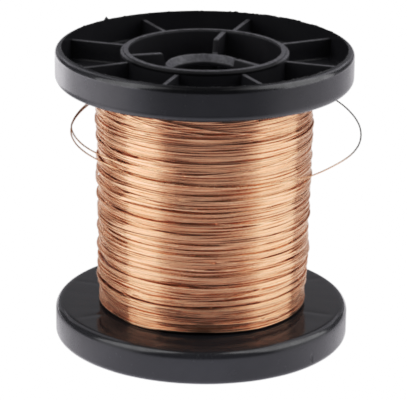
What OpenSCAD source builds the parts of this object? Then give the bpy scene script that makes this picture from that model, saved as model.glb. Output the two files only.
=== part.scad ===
// Wire spool: two ribbed flanges pressed on a barrel tube, a three-fin hub
// in each end of the tube, copper wire wound between the flanges, and the
// wire's loose end.
// Units are millimetres. Z is the spool's axis, the spool stands on Z = 0,
// and the origin is the centre of the lower rim's plane.

/* [Spool] */
// Overall height, outer rim plane to outer rim plane
spool_h = 81; // [78:0.5:90]
// Flange diameter
flange_d = 80; // [78:0.5:84]
// Depth of one flange, from its outer rim plane to its wire-side face
flange_t = 9.5; // [8.5:0.1:11]

/* [Flange] */
// Wall thickness of the rim
rim_wall = 1.8; // [1.7:0.1:2.4]
// Edge radius on the rim's outer side
rim_r_out = 1.6; // [0.8:0.1:1.6]
// Edge radius on the rim's wire side
rim_r_in = 2.3; // [1:0.1:2.3]
// Thickness of the web behind the wire
web_t = 2.4; // [2.3:0.1:3.2]
// Number of ribs between socket and rim
rib_n = 8; // [4:1:12]
// Rib thickness
rib_t = 1.2; // [0.8:0.1:2]
// How far the rib edge lies below the rim plane
rib_drop = 1.7; // [0.5:0.1:3]
// Direction of the first rib
rib_a0 = 26.5; // [0:0.5:44]
// Wall thickness of the socket that grips the tube
socket_wall = 0.8; // [0.6:0.1:1.4]

/* [Barrel] */
// Outer diameter of the barrel tube
tube_d = 43.5; // [40:0.5:46]
// Wall thickness of the barrel tube
tube_wall = 1.35; // [1:0.05:2.4]
// How far the tube and socket ends lie below the rim plane
tube_drop = 0.7; // [0.2:0.1:1.5]

/* [Hub] */
// Diameter of the spindle bore
bore_d = 17.5; // [15:0.5:18.5]
// Length of the straight part of the bore
bore_l = 0.9; // [0.6:0.1:3]
// Diameter of the bore's flared mouth
mouth_d = 20.2; // [19:0.1:20.6]
// Wall thickness of the bore collar
collar_wall = 2.45; // [2:0.05:3]
// Length of the bore collar
collar_l = 3; // [2.6:0.1:6]
// How far the collar lies below the rim plane
collar_drop = 4.7; // [3.5:0.1:8]
// Number of fins that carry the collar
fin_n = 3; // [3:1:6]
// Fin thickness
fin_t = 1.4; // [1:0.1:2]
// How far the fin edge lies below the rim plane
fin_drop = 1; // [0.8:0.1:2]
// Length of the fins along the axis
fin_l = 17; // [10:1:24]
// Direction of the first fin
fin_a0 = 75.5; // [0:0.5:119]

/* [Wire] */
// Diameter of the wire
wire_d = 0.35; // [0.3:0.01:0.5]
// Diameter over the wound wire
wound_d = 57.2; // [50:0.2:60]
// Gap between the wound wire and the lower flange
wound_gap = 0.7; // [0.2:0.1:2]

/* [Hidden] */
$fn = 96;

flange_r = flange_d / 2;
tube_r = tube_d / 2;
tube_ri = tube_r - tube_wall;
socket_r = tube_r + socket_wall;
bore_r = bore_d / 2;
collar_r = bore_r + collar_wall;
mouth_r = mouth_d / 2;
mouth_slope = (mouth_r - bore_r) / (collar_l - bore_l);
wound_r = wound_d / 2;
// fin edge: radius at the collar and at the outer end
fin_r_low = collar_r - 0.7;
fin_r_top = collar_r + 0.6;

// Loose end: [direction in degrees, radius, height] along the wire. It comes
// off the back of the winding, bows out on the left, runs over the front of
// the winding, bows out on the right and round the back, and is tucked in
// again at the front.
loose_pts = [
    [38, 28.3, 63.9], [50, 28.8, 64.0], [70, 29.8, 63.8], [95, 33.0, 63.0],
    [125, 35.3, 61.5], [155, 35.6, 59.5], [173, 36.2, 57.1], [185, 35.0, 55.1],
    [195, 32.5, 53.6], [206, 30.0, 52.7], [216, 28.9, 52.2], [230, 28.8, 51.9],
    [250, 28.8, 51.6], [270, 28.8, 51.2], [290, 28.8, 50.8], [305, 28.9, 50.4],
    [318, 30.4, 50.4], [328, 33.3, 51.0], [339, 38.6, 53.4], [350, 41.5, 55.3],
    [362, 42.5, 57.2], [376, 42.5, 59.0], [390, 41.8, 60.7], [415, 41.3, 62.2],
    [440, 41.0, 62.8], [465, 40.3, 62.4], [490, 38.9, 61.0], [512, 37.2, 59.0],
    [528, 36.3, 57.5], [537, 36.0, 56.8], [548, 35.1, 55.9], [558, 33.2, 55.1],
    [567, 30.8, 54.6], [576, 29.1, 54.4], [590, 28.8, 54.6], [606, 28.8, 54.8],
    [622, 28.3, 54.8]
];
loose_sides = 8;
// rings in each stretch between two route points
function loose_n(i) = (loose_pts[i + 1][0] - loose_pts[i][0]) > 17 ? 3 : 2;

// smooth curve through the route points
function spline(a, b, c, d, t) =
    0.5 * (2 * b + (c - a) * t + (2 * a - 5 * b + 4 * c - d) * t * t
    + (3 * b - a - 3 * c + d) * t * t * t);
function pt(i) = loose_pts[max(0, min(len(loose_pts) - 1, i))];
function to_xyz(p) = [p[1] * cos(p[0]), p[1] * sin(p[0]), p[2]];
function unit(v) = v / norm(v);

loose_path = concat(
    [for (i = [0 : len(loose_pts) - 2]) for (k = [0 : loose_n(i) - 1])
        to_xyz(spline(pt(i - 1), pt(i), pt(i + 1), pt(i + 2), k / loose_n(i)))],
    [to_xyz(loose_pts[len(loose_pts) - 1])]);

// ---- plastic ----

// rim, web and socket of a flange, wire-side face on Z = 0
module flange_turned() {
    rotate_extrude() {
        // web and wall
        translate([tube_r, 0]) square([flange_r - rim_r_in - tube_r, web_t]);
        intersection() {
            translate([flange_r - rim_r_in, rim_r_in]) circle(r = rim_r_in);
            translate([flange_r - rim_r_in - 0.01, 0]) square([rim_r_in + 0.01, rim_r_in]);
        }
        translate([flange_r - rim_r_in - 0.5, rim_r_in - 0.01])
            square([rim_r_in + 0.5, web_t - rim_r_in + 0.01]);
        translate([flange_r - rim_wall, web_t])
            square([rim_wall, flange_t - rim_r_out - web_t]);
        // outer edge and the narrow land that it stands on
        intersection() {
            translate([flange_r - rim_r_out, flange_t - rim_r_out]) circle(r = rim_r_out);
            translate([flange_r - rim_r_out, flange_t - rim_r_out]) square([rim_r_out, rim_r_out]);
        }
        translate([flange_r - rim_wall, flange_t - rim_r_out - 0.01])
            square([rim_wall - rim_r_out, rim_r_out + 0.01]);
        // socket
        translate([tube_r, 0]) square([socket_wall, flange_t - tube_drop]);
    }
}

module flange() {
    union() {
        flange_turned();
        for (i = [0 : rib_n - 1])
            rotate([0, 0, rib_a0 + i * 360 / rib_n])
                translate([tube_r + socket_wall / 2, -rib_t / 2, web_t / 2])
                    cube([flange_r - rim_wall / 2 - tube_r - socket_wall / 2, rib_t,
                        flange_t - rib_drop - web_t / 2]);
    }
}

// three fins and a bore collar, outer rim plane on Z = 0, pointing down
module hub() {
    union() {
        difference() {
            translate([0, 0, -collar_drop - collar_l]) cylinder(r = collar_r, h = collar_l);
            translate([0, 0, -collar_drop - collar_l - 1]) cylinder(r = bore_r, h = collar_l + 2);
            // the mouth guides the spindle into the bore
            translate([0, 0, -collar_drop - collar_l + bore_l])
                cylinder(r1 = bore_r, r2 = mouth_r + 0.1 * mouth_slope, h = collar_l - bore_l + 0.1);
            // the collar's outer edge slopes away from the mouth
            translate([0, 0, -collar_drop - 1.2]) difference() {
                cylinder(r = collar_r + 1, h = 1.3);
                cylinder(r1 = collar_r, r2 = mouth_r + 0.15, h = 1.3);
            }
        }
        for (i = [0 : fin_n - 1])
            rotate([0, 0, fin_a0 + i * 360 / fin_n])
                intersection() {
                    translate([0, 0, -fin_drop - fin_l]) cylinder(r = tube_ri, h = fin_l);
                    rotate([90, 0, 0]) translate([0, 0, -fin_t / 2])
                        linear_extrude(height = fin_t)
                            polygon([[fin_r_top, -fin_drop], [tube_r + 2, -fin_drop],
                                [tube_r + 2, -fin_drop - fin_l], [fin_r_low, -fin_drop - fin_l],
                                [fin_r_low, -collar_drop - 0.6]]);
                }
    }
}

module upper_flange() {
    color("#1b1b1e") translate([0, 0, spool_h - flange_t]) flange();
}

module lower_flange() {
    color("#1b1b1e") translate([0, 0, flange_t]) mirror([0, 0, 1]) flange();
}

module barrel_tube() {
    color("#232326") translate([0, 0, tube_drop])
        rotate_extrude() translate([tube_ri, 0]) square([tube_wall, spool_h - 2 * tube_drop]);
}

module upper_hub() {
    color("#232326") translate([0, 0, spool_h]) hub();
}

module lower_hub() {
    color("#232326") mirror([0, 0, 1]) hub();
}

// ---- wire ----

// outer shape of the wound wire, with the turns drawn in at both ends
module winding() {
    z0 = flange_t + wound_gap;
    z1 = spool_h - flange_t;
    color("#c8875c") rotate_extrude() {
        translate([tube_r, z0]) square([wound_r - tube_r - 0.8, z1 - z0]);
        translate([tube_r, z0 + 0.8]) square([wound_r - tube_r, z1 - z0 - 1.6]);
        translate([wound_r - 0.8, z0 + 0.8]) circle(r = 0.8);
        translate([wound_r - 0.8, z1 - 0.8]) circle(r = 0.8);
    }
}

// the wire's loose end, one tube swept along its route
module loose_end() {
    n = len(loose_path);
    m = loose_sides;
    pts = [for (i = [0 : n - 1])
        let (a = loose_path[max(0, i - 1)], b = loose_path[min(n - 1, i + 1)],
            t = unit(b - a), u = unit(cross(t, [0, 0, 1])), v = cross(u, t))
        for (k = [0 : m - 1])
            loose_path[i] + wire_d / 2 * (cos(k * 360 / m) * u + sin(k * 360 / m) * v)];
    faces = concat(
        [[for (k = [0 : m - 1]) k]],
        [for (i = [0 : n - 2]) for (k = [0 : m - 1])
            [i * m + k, (i + 1) * m + k, (i + 1) * m + (k + 1) % m, i * m + (k + 1) % m]],
        [[for (k = [m - 1 : -1 : 0]) (n - 1) * m + k]]);
    color("#c8875c") polyhedron(points = pts, faces = faces, convexity = 6);
}

upper_flange();
lower_flange();
barrel_tube();
upper_hub();
lower_hub();
winding();
loose_end();
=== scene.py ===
"""Looks for a wire spool: two ribbed black plastic flanges on a tube with finned hubs, wound with fine bare copper wire."""
import math

import bpy
import numpy as np
from mathutils import Matrix, Vector


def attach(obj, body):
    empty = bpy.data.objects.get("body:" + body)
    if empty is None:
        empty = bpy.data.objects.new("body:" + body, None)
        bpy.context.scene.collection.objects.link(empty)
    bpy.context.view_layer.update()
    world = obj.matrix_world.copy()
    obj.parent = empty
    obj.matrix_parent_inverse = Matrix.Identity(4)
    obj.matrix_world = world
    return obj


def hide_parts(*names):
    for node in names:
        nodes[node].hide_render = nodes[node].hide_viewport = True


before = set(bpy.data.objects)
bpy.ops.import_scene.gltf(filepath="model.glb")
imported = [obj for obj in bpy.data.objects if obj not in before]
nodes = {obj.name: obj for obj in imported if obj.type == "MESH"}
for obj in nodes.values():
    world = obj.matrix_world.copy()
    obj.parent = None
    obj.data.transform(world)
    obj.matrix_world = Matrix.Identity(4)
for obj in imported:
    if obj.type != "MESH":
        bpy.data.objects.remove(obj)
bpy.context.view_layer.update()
scene = bpy.context.scene
W, H = 407, 400
MM = 0.001

# ---------------------------------------------------------------- spool sizes, mm (as in the CAD)
SPOOL_H = 81.0
FLANGE_R = 40.0
FLANGE_T = 9.5
RIM_IN = 38.2
R_OUT, R_IN = 1.6, 2.3
WEB_T = 2.4
TUBE_R, TUBE_RI = 21.75, 20.4
SOCKET_R = 22.55
TUBE_DROP = 0.7
RIB_T, RIB_DROP, RIB_A0 = 1.2, 1.7, 26.5
BORE_R, BORE_L, MOUTH_R, COLLAR_R = 8.75, 0.9, 10.1, 11.2
COLLAR_DROP, COLLAR_L = 4.7, 3.0
FIN_T, FIN_DROP, FIN_L, FIN_A0 = 1.4, 1.0, 17.0, 75.5
WIRE_R = 0.175
LAID = 1.15  # the wound turns are drawn this much wider than high, so that turns side by side close up


# ---------------------------------------------------------------- mesh helpers
def new_mesh(name, co, faces, smooth=True):
    """co in mm, faces as an (n, k) array or a list of lists. Returns a linked object."""
    me = bpy.data.meshes.new(name)
    co = np.asarray(co, np.float64) * MM
    me.vertices.add(len(co))
    me.vertices.foreach_set("co", co.astype(np.float32).ravel())
    if isinstance(faces, np.ndarray):
        faces = [faces]
    flat, starts, at = [], [], 0
    for group in faces:
        group = np.asarray(group, np.int32)
        flat.append(group.ravel())
        starts.append(at + np.arange(len(group)) * group.shape[1])
        at += group.size
    flat = np.concatenate(flat)
    starts = np.concatenate(starts)
    me.loops.add(len(flat))
    me.loops.foreach_set("vertex_index", flat)
    me.polygons.add(len(starts))
    me.polygons.foreach_set("loop_start", starts.astype(np.int32))
    me.update(calc_edges=True)
    me.polygons.foreach_set("use_smooth", np.full(len(starts), smooth))
    me.validate()
    ob = bpy.data.objects.new(name, me)
    scene.collection.objects.link(ob)
    return ob


def sharpen(ob, degrees):
    """Edges sharper than this stay crisp, all others shade smooth."""
    import bmesh

    bm = bmesh.new()
    bm.from_mesh(ob.data)
    lim = math.radians(degrees)
    for e in bm.edges:
        e.smooth = len(e.link_faces) != 2 or e.calc_face_angle(0.0) < lim
    for f in bm.faces:
        f.smooth = True
    bm.to_mesh(ob.data)
    bm.free()


def union(ob, other):
    """ob with other joined on as one closed skin; other is removed."""
    m = ob.modifiers.new("join", "BOOLEAN")
    m.operation = "UNION"
    m.solver = "MANIFOLD"
    m.object = other
    dg = bpy.context.evaluated_depsgraph_get()
    me = bpy.data.meshes.new_from_object(ob.evaluated_get(dg))
    ob.modifiers.clear()
    old = ob.data
    ob.data = me
    me.name = ob.name
    bpy.data.meshes.remove(old)
    bpy.data.objects.remove(other)
    return ob


def revolve(name, rings, segs):
    """rings is (k, segs, 2): radius and height of each profile point at each step round the axis; the profile is closed."""
    k = rings.shape[0]
    a = np.arange(segs) * 2 * np.pi / segs
    co = np.stack([rings[:, :, 0] * np.cos(a), rings[:, :, 0] * np.sin(a), rings[:, :, 1]], -1).reshape(-1, 3)
    i, j = np.meshgrid(np.arange(k), np.arange(segs), indexing="ij")
    i2, j2 = (i + 1) % k, (j + 1) % segs
    f = np.stack([i * segs + j, i * segs + j2, i2 * segs + j2, i2 * segs + j], -1).reshape(-1, 4)
    return co, f


def arc(cx, cz, r, a0, a1, n):
    t = np.radians(np.linspace(a0, a1, n))
    return [(cx + r * math.cos(x), cz + r * math.sin(x)) for x in t]


def noise1(rng, n, waves, amp):
    """Smooth periodic noise of n samples made of the given numbers of waves round the circle."""
    t = np.arange(n) * 2 * np.pi / n
    out = np.zeros(n)
    for w in waves:
        out += rng.normal() * np.cos(w * t + rng.uniform(0, 2 * np.pi))
    return amp * out / math.sqrt(len(waves))


# ---------------------------------------------------------------- plastic
SEG = 720


def ragged(rng, n, levels, rough):
    """Height round the circle of a torn edge: levels is (degrees, height) pairs, rough the size of its nicks and steps."""
    t = np.arange(n) * 360.0 / n
    out = np.interp(t, [a for a, _ in levels], [h for _, h in levels])
    i = 0
    while i < n:
        w = int(rng.integers(1, 5))
        out[i:i + w] += rough * rng.uniform(-1, 1) * (1.6 if rng.uniform() < 0.2 else 0.8)
        i += w
    return np.maximum(out, 0.0)


def flash(rng, n, count, height, width=(0.5, 3.0)):
    """Height round the circle of a broken thin fin of moulding flash."""
    t = np.arange(n) * 360.0 / n
    f = np.zeros(n)
    for _ in range(count):
        c, w, h = rng.uniform(0, 360), rng.uniform(*width), rng.uniform(0.25, 1.0) ** 1.5 * height
        d = np.abs((t - c + 180) % 360 - 180)
        f = np.maximum(f, h * np.clip(1.35 - (d / w) ** 2, 0, 1))
    f += rng.uniform(0, 0.03, n)
    return f


def make_flange(name, seed, levels, rough, spikes=(), gate=None):
    """Wire-side face on z = 0, open side up."""
    rng = np.random.default_rng(seed)
    t = np.arange(SEG) * 360.0 / SEG
    fl = ragged(rng, SEG, levels, rough)
    for at, w, h in spikes:
        d = np.abs((t - at + 180) % 360 - 180)
        fl = np.maximum(fl, h * np.clip(1.15 - d / w, 0, 1)) if h > 0 else np.where(d < w, np.maximum(fl + h, 0), fl)
    pts, tag = [], []

    def add(p, what=""):
        pts.append(p)
        tag.append(what)

    for r in (21.76, 22.6, 23.6, 24.8, 26, 27.2, 28.4, 29.6, 30.8, 32, 33.2, 34.4, 35.6, 36.7):
        add((r, 0.0), "web")
    for p in arc(FLANGE_R - R_IN, R_IN, R_IN, -90, 0, 12):
        add(p, "side")
    for z in (3.2, 4.6, 5.7, 5.9, 7.0, 7.7):
        add((FLANGE_R, z), "side")
    for p in arc(FLANGE_R - R_OUT, FLANGE_T - R_OUT, R_OUT, 0, 90, 12):
        add(p, "edge")
    add((38.36, FLANGE_T), "edge")
    add((38.33, FLANGE_T + 0.01), "fl0")
    add((38.30, FLANGE_T), "fl1")
    add((38.24, FLANGE_T), "fl2")
    add((RIM_IN, FLANGE_T - 0.10), "")
    add((RIM_IN, FLANGE_T - 0.6), "wall")
    add((38.17, 7.0), "wall")
    add((38.13, 5.0), "wall")
    add((38.10, 3.3), "wall")
    for p in arc(37.6, 2.9, 0.5, 0, -90, 6):
        add(p, "")
    for r in (36.5, 34, 31, 28, 25.5):
        add((r, WEB_T), "floor")
    for p in arc(23.05, 2.9, 0.5, -90, -180, 6):
        add(p, "")
    for z in (4.2, 6.0, 7.6):
        add((SOCKET_R, z), "ring")
    # the socket's end slopes away from the tube
    for p in ((SOCKET_R, 8.16), (22.54, 8.26), (22.50, 8.33), (22.44, 8.375)):
        add(p, "ring")
    add((22.1, 8.52), "top")
    add((21.84, 8.63), "top")
    add((21.775, 8.62), "")
    add((21.76, 8.54), "")
    add((21.76, 4.0), "")
    k = len(pts)
    rings = np.repeat(np.array(pts, float)[:, None, :], SEG, 1)
    th = np.radians(t)
    low = noise1(rng, SEG, range(2, 7), 0.05)
    mid = noise1(rng, SEG, range(9, 31), 0.02)
    lean = noise1(rng, SEG, range(20, 60), 0.05)
    for i in range(k):
        r, z = pts[i]
        if tag[i] == "web":
            # shallow sink marks opposite the ribs, and a hint of flow lines
            sink = np.zeros(SEG)
            for j in range(8):
                off = r * np.sin(th - math.radians(RIB_A0 + 45 * j))
                ahead = np.cos(th - math.radians(RIB_A0 + 45 * j)) > 0
                sink += np.where(ahead, np.exp(-((off / 1.1) ** 2)), 0)
            g = min(1.0, max(0.0, (r - 22.5) / 2)) * min(1.0, max(0.0, (37.7 - r) / 1.2))
            rings[i, :, 1] += g * (0.07 * sink + 0.006 * np.sin(37 * th + 0.4 * r) + 0.25 * mid)
        elif tag[i] == "side":
            rings[i, :, 0] += 0.35 * low
            if gate is not None and 5.8 < z < 7.9:
                # the scar where the sprue was broken off
                d = np.abs((t - gate + 180) % 360 - 180)
                rings[i, :, 0] += np.where(d < 0.3, -0.15, np.where(d < 1.2, 0.05, 0))
        elif tag[i] == "edge":
            rings[i, :, 0] += 0.35 * low
            rings[i, :, 1] += 0.5 * mid
        elif tag[i] == "fl0":
            rings[i, :, 1] += 0.12 * fl
        elif tag[i] == "fl1":
            rings[i, :, 0] += 0.4 * lean
            rings[i, :, 1] += fl
        elif tag[i] == "fl2":
            rings[i, :, 0] += 0.4 * lean
            rings[i, :, 1] += 0.9 * fl
        elif tag[i] == "top":
            rings[i, :, 1] += 0.6 * mid
        elif tag[i] == "floor":
            rings[i, :, 1] += 0.4 * mid
    co, f = revolve(name, rings, SEG)
    ob = new_mesh(name, co, f)
    # ribs: rounded along the top, flared at the foot
    rcos, rfac = [], []
    h = FLANGE_T - RIB_DROP
    half = RIB_T / 2
    sect = [(-1.25, 1.3), (1.25, 1.3), (1.25, 2.38)]
    sect += [(1.10, 2.41), (0.86, 2.52), (0.72, 2.72), (0.66, 3.0), (0.63, 5.0)]
    sect += arc(half - 0.14, h - 0.14, 0.14, 0, 90, 5)
    sect += arc(-(half - 0.14), h - 0.14, 0.14, 90, 180, 5)
    sect += [(-0.63, 5.0), (-0.66, 3.0), (-0.72, 2.72), (-0.86, 2.52), (-1.10, 2.41), (-1.25, 2.38)]
    sect = np.array(sect)
    m = len(sect)
    stations = np.array([22.2, 23.6, 26, 29, 32, 35, 37.4, 39.2])
    for j in range(8):
        a = math.radians(RIB_A0 + 45 * j)
        u, v = np.array([math.cos(a), math.sin(a)]), np.array([-math.sin(a), math.cos(a)])
        bow = rng.normal(0, 0.04)
        top = rng.normal(0, 0.05)
        base = len(rcos) * 0 + sum(len(c) for c in rcos)
        block = []
        for s, r in enumerate(stations):
            w = math.sin(math.pi * (r - 22.2) / 17.0)
            # the foot's flare ends before the walls
            flare = 1.0 if 23.0 < r < 37.6 else 0.8
            x = sect[:, 0] * np.where(sect[:, 1] < 2.9, flare, 1.0) + bow * w
            z = sect[:, 1] + np.where(sect[:, 1] > 6, top * w * 0.8 - 0.05 * w, 0)
            xy = u[None] * r + v[None] * x[:, None]
            block.append(np.column_stack([xy, z]))
        rcos.append(np.concatenate(block))
        for s in range(len(stations) - 1):
            for q in range(m):
                q2 = (q + 1) % m
                rfac.append([base + s * m + q, base + s * m + q2, base + (s + 1) * m + q2, base + (s + 1) * m + q])
        # end caps as fans round a middle point
        for s, flip in ((0, True), (len(stations) - 1, False)):
            mid_pt = block[s].mean(0)
            rcos.append(mid_pt[None])
            c = sum(len(x) for x in rcos) - 1
            for q in range(m):
                q2 = (q + 1) % m
                a0, b0 = base + s * m + q, base + s * m + q2
                rfac.append([c, b0, a0, a0] if flip else [c, a0, b0, b0])
    rco = np.concatenate(rcos)
    quads = np.array([x for x in rfac if x[2] != x[3]])
    tris = np.array([x[:3] for x in rfac if x[2] == x[3]])
    ribs = new_mesh(name + "_ribs", rco, [quads, tris])
    fix_normals(ribs)
    fix_normals(ob)
    union(ob, ribs)
    sharpen(ob, 32)
    return ob


def fix_normals(ob):
    import bmesh

    bm = bmesh.new()
    bm.from_mesh(ob.data)
    bmesh.ops.recalc_face_normals(bm, faces=bm.faces[:])
    bm.to_mesh(ob.data)
    bm.free()


def place(ob, z, flip=False):
    """Moves a piece built on z = 0 to its height in mm; flip turns it upside down by mirroring in Z."""
    me = ob.data
    co = np.zeros(len(me.vertices) * 3, np.float32)
    me.vertices.foreach_get("co", co)
    co = co.reshape(-1, 3)
    if flip:
        co[:, 2] = z * MM - co[:, 2]
    else:
        co[:, 2] += z * MM
    me.vertices.foreach_set("co", co.ravel())
    if flip:
        me.flip_normals()
    me.update()
    return ob


def make_tube():
    rng = np.random.default_rng(31)
    segs = 480
    z0, z1 = TUBE_DROP, SPOOL_H - TUBE_DROP
    pts = [(TUBE_R - 0.01, z0 + 0.30), (TUBE_R - 0.01, 20), (TUBE_R - 0.01, 40.5), (TUBE_R - 0.01, 61), (TUBE_R - 0.01, z1 - 0.30)]
    pts += [(TUBE_R - 0.03, z1 - 0.09), (TUBE_R - 0.07, z1 - 0.02), (TUBE_R - 0.13, z1)]
    pts += [(21.1, z1 + 0.01), (TUBE_RI + 0.22, z1)]
    pts += [(TUBE_RI + 0.12, z1), (TUBE_RI + 0.03, z1), (TUBE_RI, z1 - 0.12)]
    n_top = len(pts)
    pts += [(TUBE_RI, z1 - 1), (TUBE_RI, 61), (TUBE_RI, 40.5), (TUBE_RI, 20), (TUBE_RI, z0 + 1)]
    pts += [(TUBE_RI, z0 + 0.12), (TUBE_RI + 0.03, z0), (TUBE_RI + 0.12, z0), (TUBE_RI + 0.22, z0), (21.1, z0 - 0.01), (TUBE_R - 0.13, z0)]
    pts += [(TUBE_R - 0.07, z0 + 0.02), (TUBE_R - 0.03, z0 + 0.09)]
    rings = np.repeat(np.array(pts, float)[:, None, :], segs, 1)
    fa, fb = flash(rng, segs, 40, 0.16, (0.6, 3.5)), flash(rng, segs, 40, 0.16, (0.6, 3.5))
    rings[n_top - 3, :, 1] += fa
    rings[n_top - 2, :, 1] += 0.8 * fa
    rings[n_top + 6, :, 1] -= fb * 0.8
    rings[n_top + 7, :, 1] -= fb
    co, f = revolve("barrel_tube_skin", rings, segs)
    ob = new_mesh("barrel_tube_skin", co, f)
    fix_normals(ob)
    sharpen(ob, 32)
    return ob


def rounded_slab(name, outline, t, bevel=0.16):
    """A flat slab of thickness t from a closed outline of (x, z), standing on the XZ plane, with rounded edges."""
    import bmesh

    bm = bmesh.new()
    front = [bm.verts.new((x * MM, -t / 2 * MM, z * MM)) for x, z in outline]
    back = [bm.verts.new((x * MM, t / 2 * MM, z * MM)) for x, z in outline]
    bm.faces.new(front)
    bm.faces.new(list(reversed(back)))
    n = len(outline)
    for i in range(n):
        j = (i + 1) % n
        bm.faces.new([front[j], front[i], back[i], back[j]])
    bmesh.ops.recalc_face_normals(bm, faces=bm.faces[:])
    bmesh.ops.bevel(bm, geom=bm.edges[:], offset=bevel * MM, segments=3, profile=0.5, affect="EDGES", clamp_overlap=True)
    bmesh.ops.triangulate(bm, faces=[f for f in bm.faces if len(f.verts) > 4])
    me = bpy.data.meshes.new(name)
    bm.to_mesh(me)
    bm.free()
    ob = bpy.data.objects.new(name, me)
    scene.collection.objects.link(ob)
    return ob


def make_hub(name, seed):
    """Outer rim plane on z = 0, pointing down."""
    rng = np.random.default_rng(seed)
    segs = 240
    z1, z0 = -COLLAR_DROP, -COLLAR_DROP - COLLAR_L
    pts = [(COLLAR_R, z0 + 0.12), (COLLAR_R, z1 - 1.28), (COLLAR_R - 0.05, z1 - 1.12)]
    pts += [(10.62, z1 - 0.42), (MOUTH_R + 0.22, z1 - 0.09), (MOUTH_R + 0.14, z1 - 0.02), (MOUTH_R + 0.05, z1), (MOUTH_R - 0.04, z1 - 0.05)]
    # a funnel with a rounded lip guides the spindle into the bore
    pts += [(MOUTH_R - 0.16, z1 - 0.17), (MOUTH_R - 0.36, z1 - 0.46), (MOUTH_R - 0.66, z1 - 0.96), (MOUTH_R - 1.0, z1 - 1.53)]
    pts += [(BORE_R + 0.08, z0 + BORE_L + 0.10), (BORE_R + 0.02, z0 + BORE_L + 0.02), (BORE_R, z0 + BORE_L - 0.08)]
    pts += [(BORE_R, z0 + 0.14), (BORE_R + 0.05, z0 + 0.03), (BORE_R + 0.16, z0), (COLLAR_R - 0.12, z0), (COLLAR_R - 0.03, z0 + 0.04)]
    rings = np.repeat(np.array(pts, float)[:, None, :], segs, 1)
    rings[3:8, :, 1] += noise1(rng, segs, range(3, 20), 0.03)
    co, f = revolve(name, rings, segs)
    ob = new_mesh(name, co, f)
    fix_normals(ob)
    low, top = COLLAR_R - 0.7, COLLAR_R + 0.6
    for k in range(3):
        a = FIN_A0 + 120 * k
        tip = rng.uniform(-0.15, 0.15)
        outline = [
            (top + tip + 0.38, -FIN_DROP), (TUBE_RI + 0.35, -FIN_DROP), (TUBE_RI + 0.35, -FIN_DROP - FIN_L),
            (low, -FIN_DROP - FIN_L), (low, -COLLAR_DROP - 0.6), (low + 0.35, -COLLAR_DROP + 0.4), (top + tip - 0.22, -FIN_DROP - 0.75),
            (top + tip - 0.16, -FIN_DROP - 0.42), (top + tip + 0.02, -FIN_DROP - 0.2),
        ]
        fin = rounded_slab(name + "_fin", outline, FIN_T)
        fin.data.transform(Matrix.Rotation(math.radians(a), 4, "Z"))
        union(ob, fin)
    sharpen(ob, 40)
    return ob


def burr(name, base, tip, width, curl, seed):
    """A thin curled sliver of plastic from base to tip, mm."""
    rng = np.random.default_rng(seed)
    base, tip = np.array(base, float), np.array(tip, float)
    n, m = 9, 6
    axis = tip - base
    side = np.cross(axis, [0, 0, 1.0])
    side /= np.linalg.norm(side)
    up = np.cross(side, axis)
    up /= np.linalg.norm(up)
    co, f = [], []
    for i in range(n):
        s = i / (n - 1)
        p = base + axis * s + side * curl * math.sin(math.pi * s) + up * 0.5 * curl * s * s
        w = width * (1 - 0.8 * s) * (1 + 0.2 * rng.normal())
        for q in range(m):
            b = 2 * math.pi * q / m
            co.append(p + side * w * math.cos(b) + up * 0.5 * w * math.sin(b))
    for i in range(n - 1):
        for q in range(m):
            f.append([i * m + q, i * m + (q + 1) % m, (i + 1) * m + (q + 1) % m, (i + 1) * m + q])
    co.append(base)
    co.append(tip)
    tris = [[n * m, (q + 1) % m, q] for q in range(m)] + [[n * m + 1, (n - 1) * m + q, (n - 1) * m + (q + 1) % m] for q in range(m)]
    ob = new_mesh(name, np.array(co), [np.array(f), np.array(tris)])
    fix_normals(ob)
    return ob


# ---------------------------------------------------------------- copper wire
Z0, Z1 = 10.25, 71.42
WANDER, SLIP, GROUP = 0.16, 2, (1, 3)
GAPS = (0.34, 0.27, 0.20, 0.24, 0.14, -0.30)
NT = 360
DZ = 0.025


def swell(th, z):
    """How far the wound wire stands proud of its mean radius: fuller on the right and towards the top, leaner on the left and low down."""
    on_right = np.interp(z, (10, 18, 22, 30, 36, 42, 50, 58, 63, 71.4), (-0.45, -0.35, 0.15, 0.25, 0.10, 0.40, 0.52, 0.72, 0.60, 0.42))
    on_left = np.interp(z, (10, 24, 29, 40, 50, 57, 71.4), (-0.80, -0.85, -0.42, -0.25, -0.10, 0.12, 0.30))
    f = 0.5 + 0.5 * np.cos(th)
    return on_right * f + on_left * (1 - f)


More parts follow.
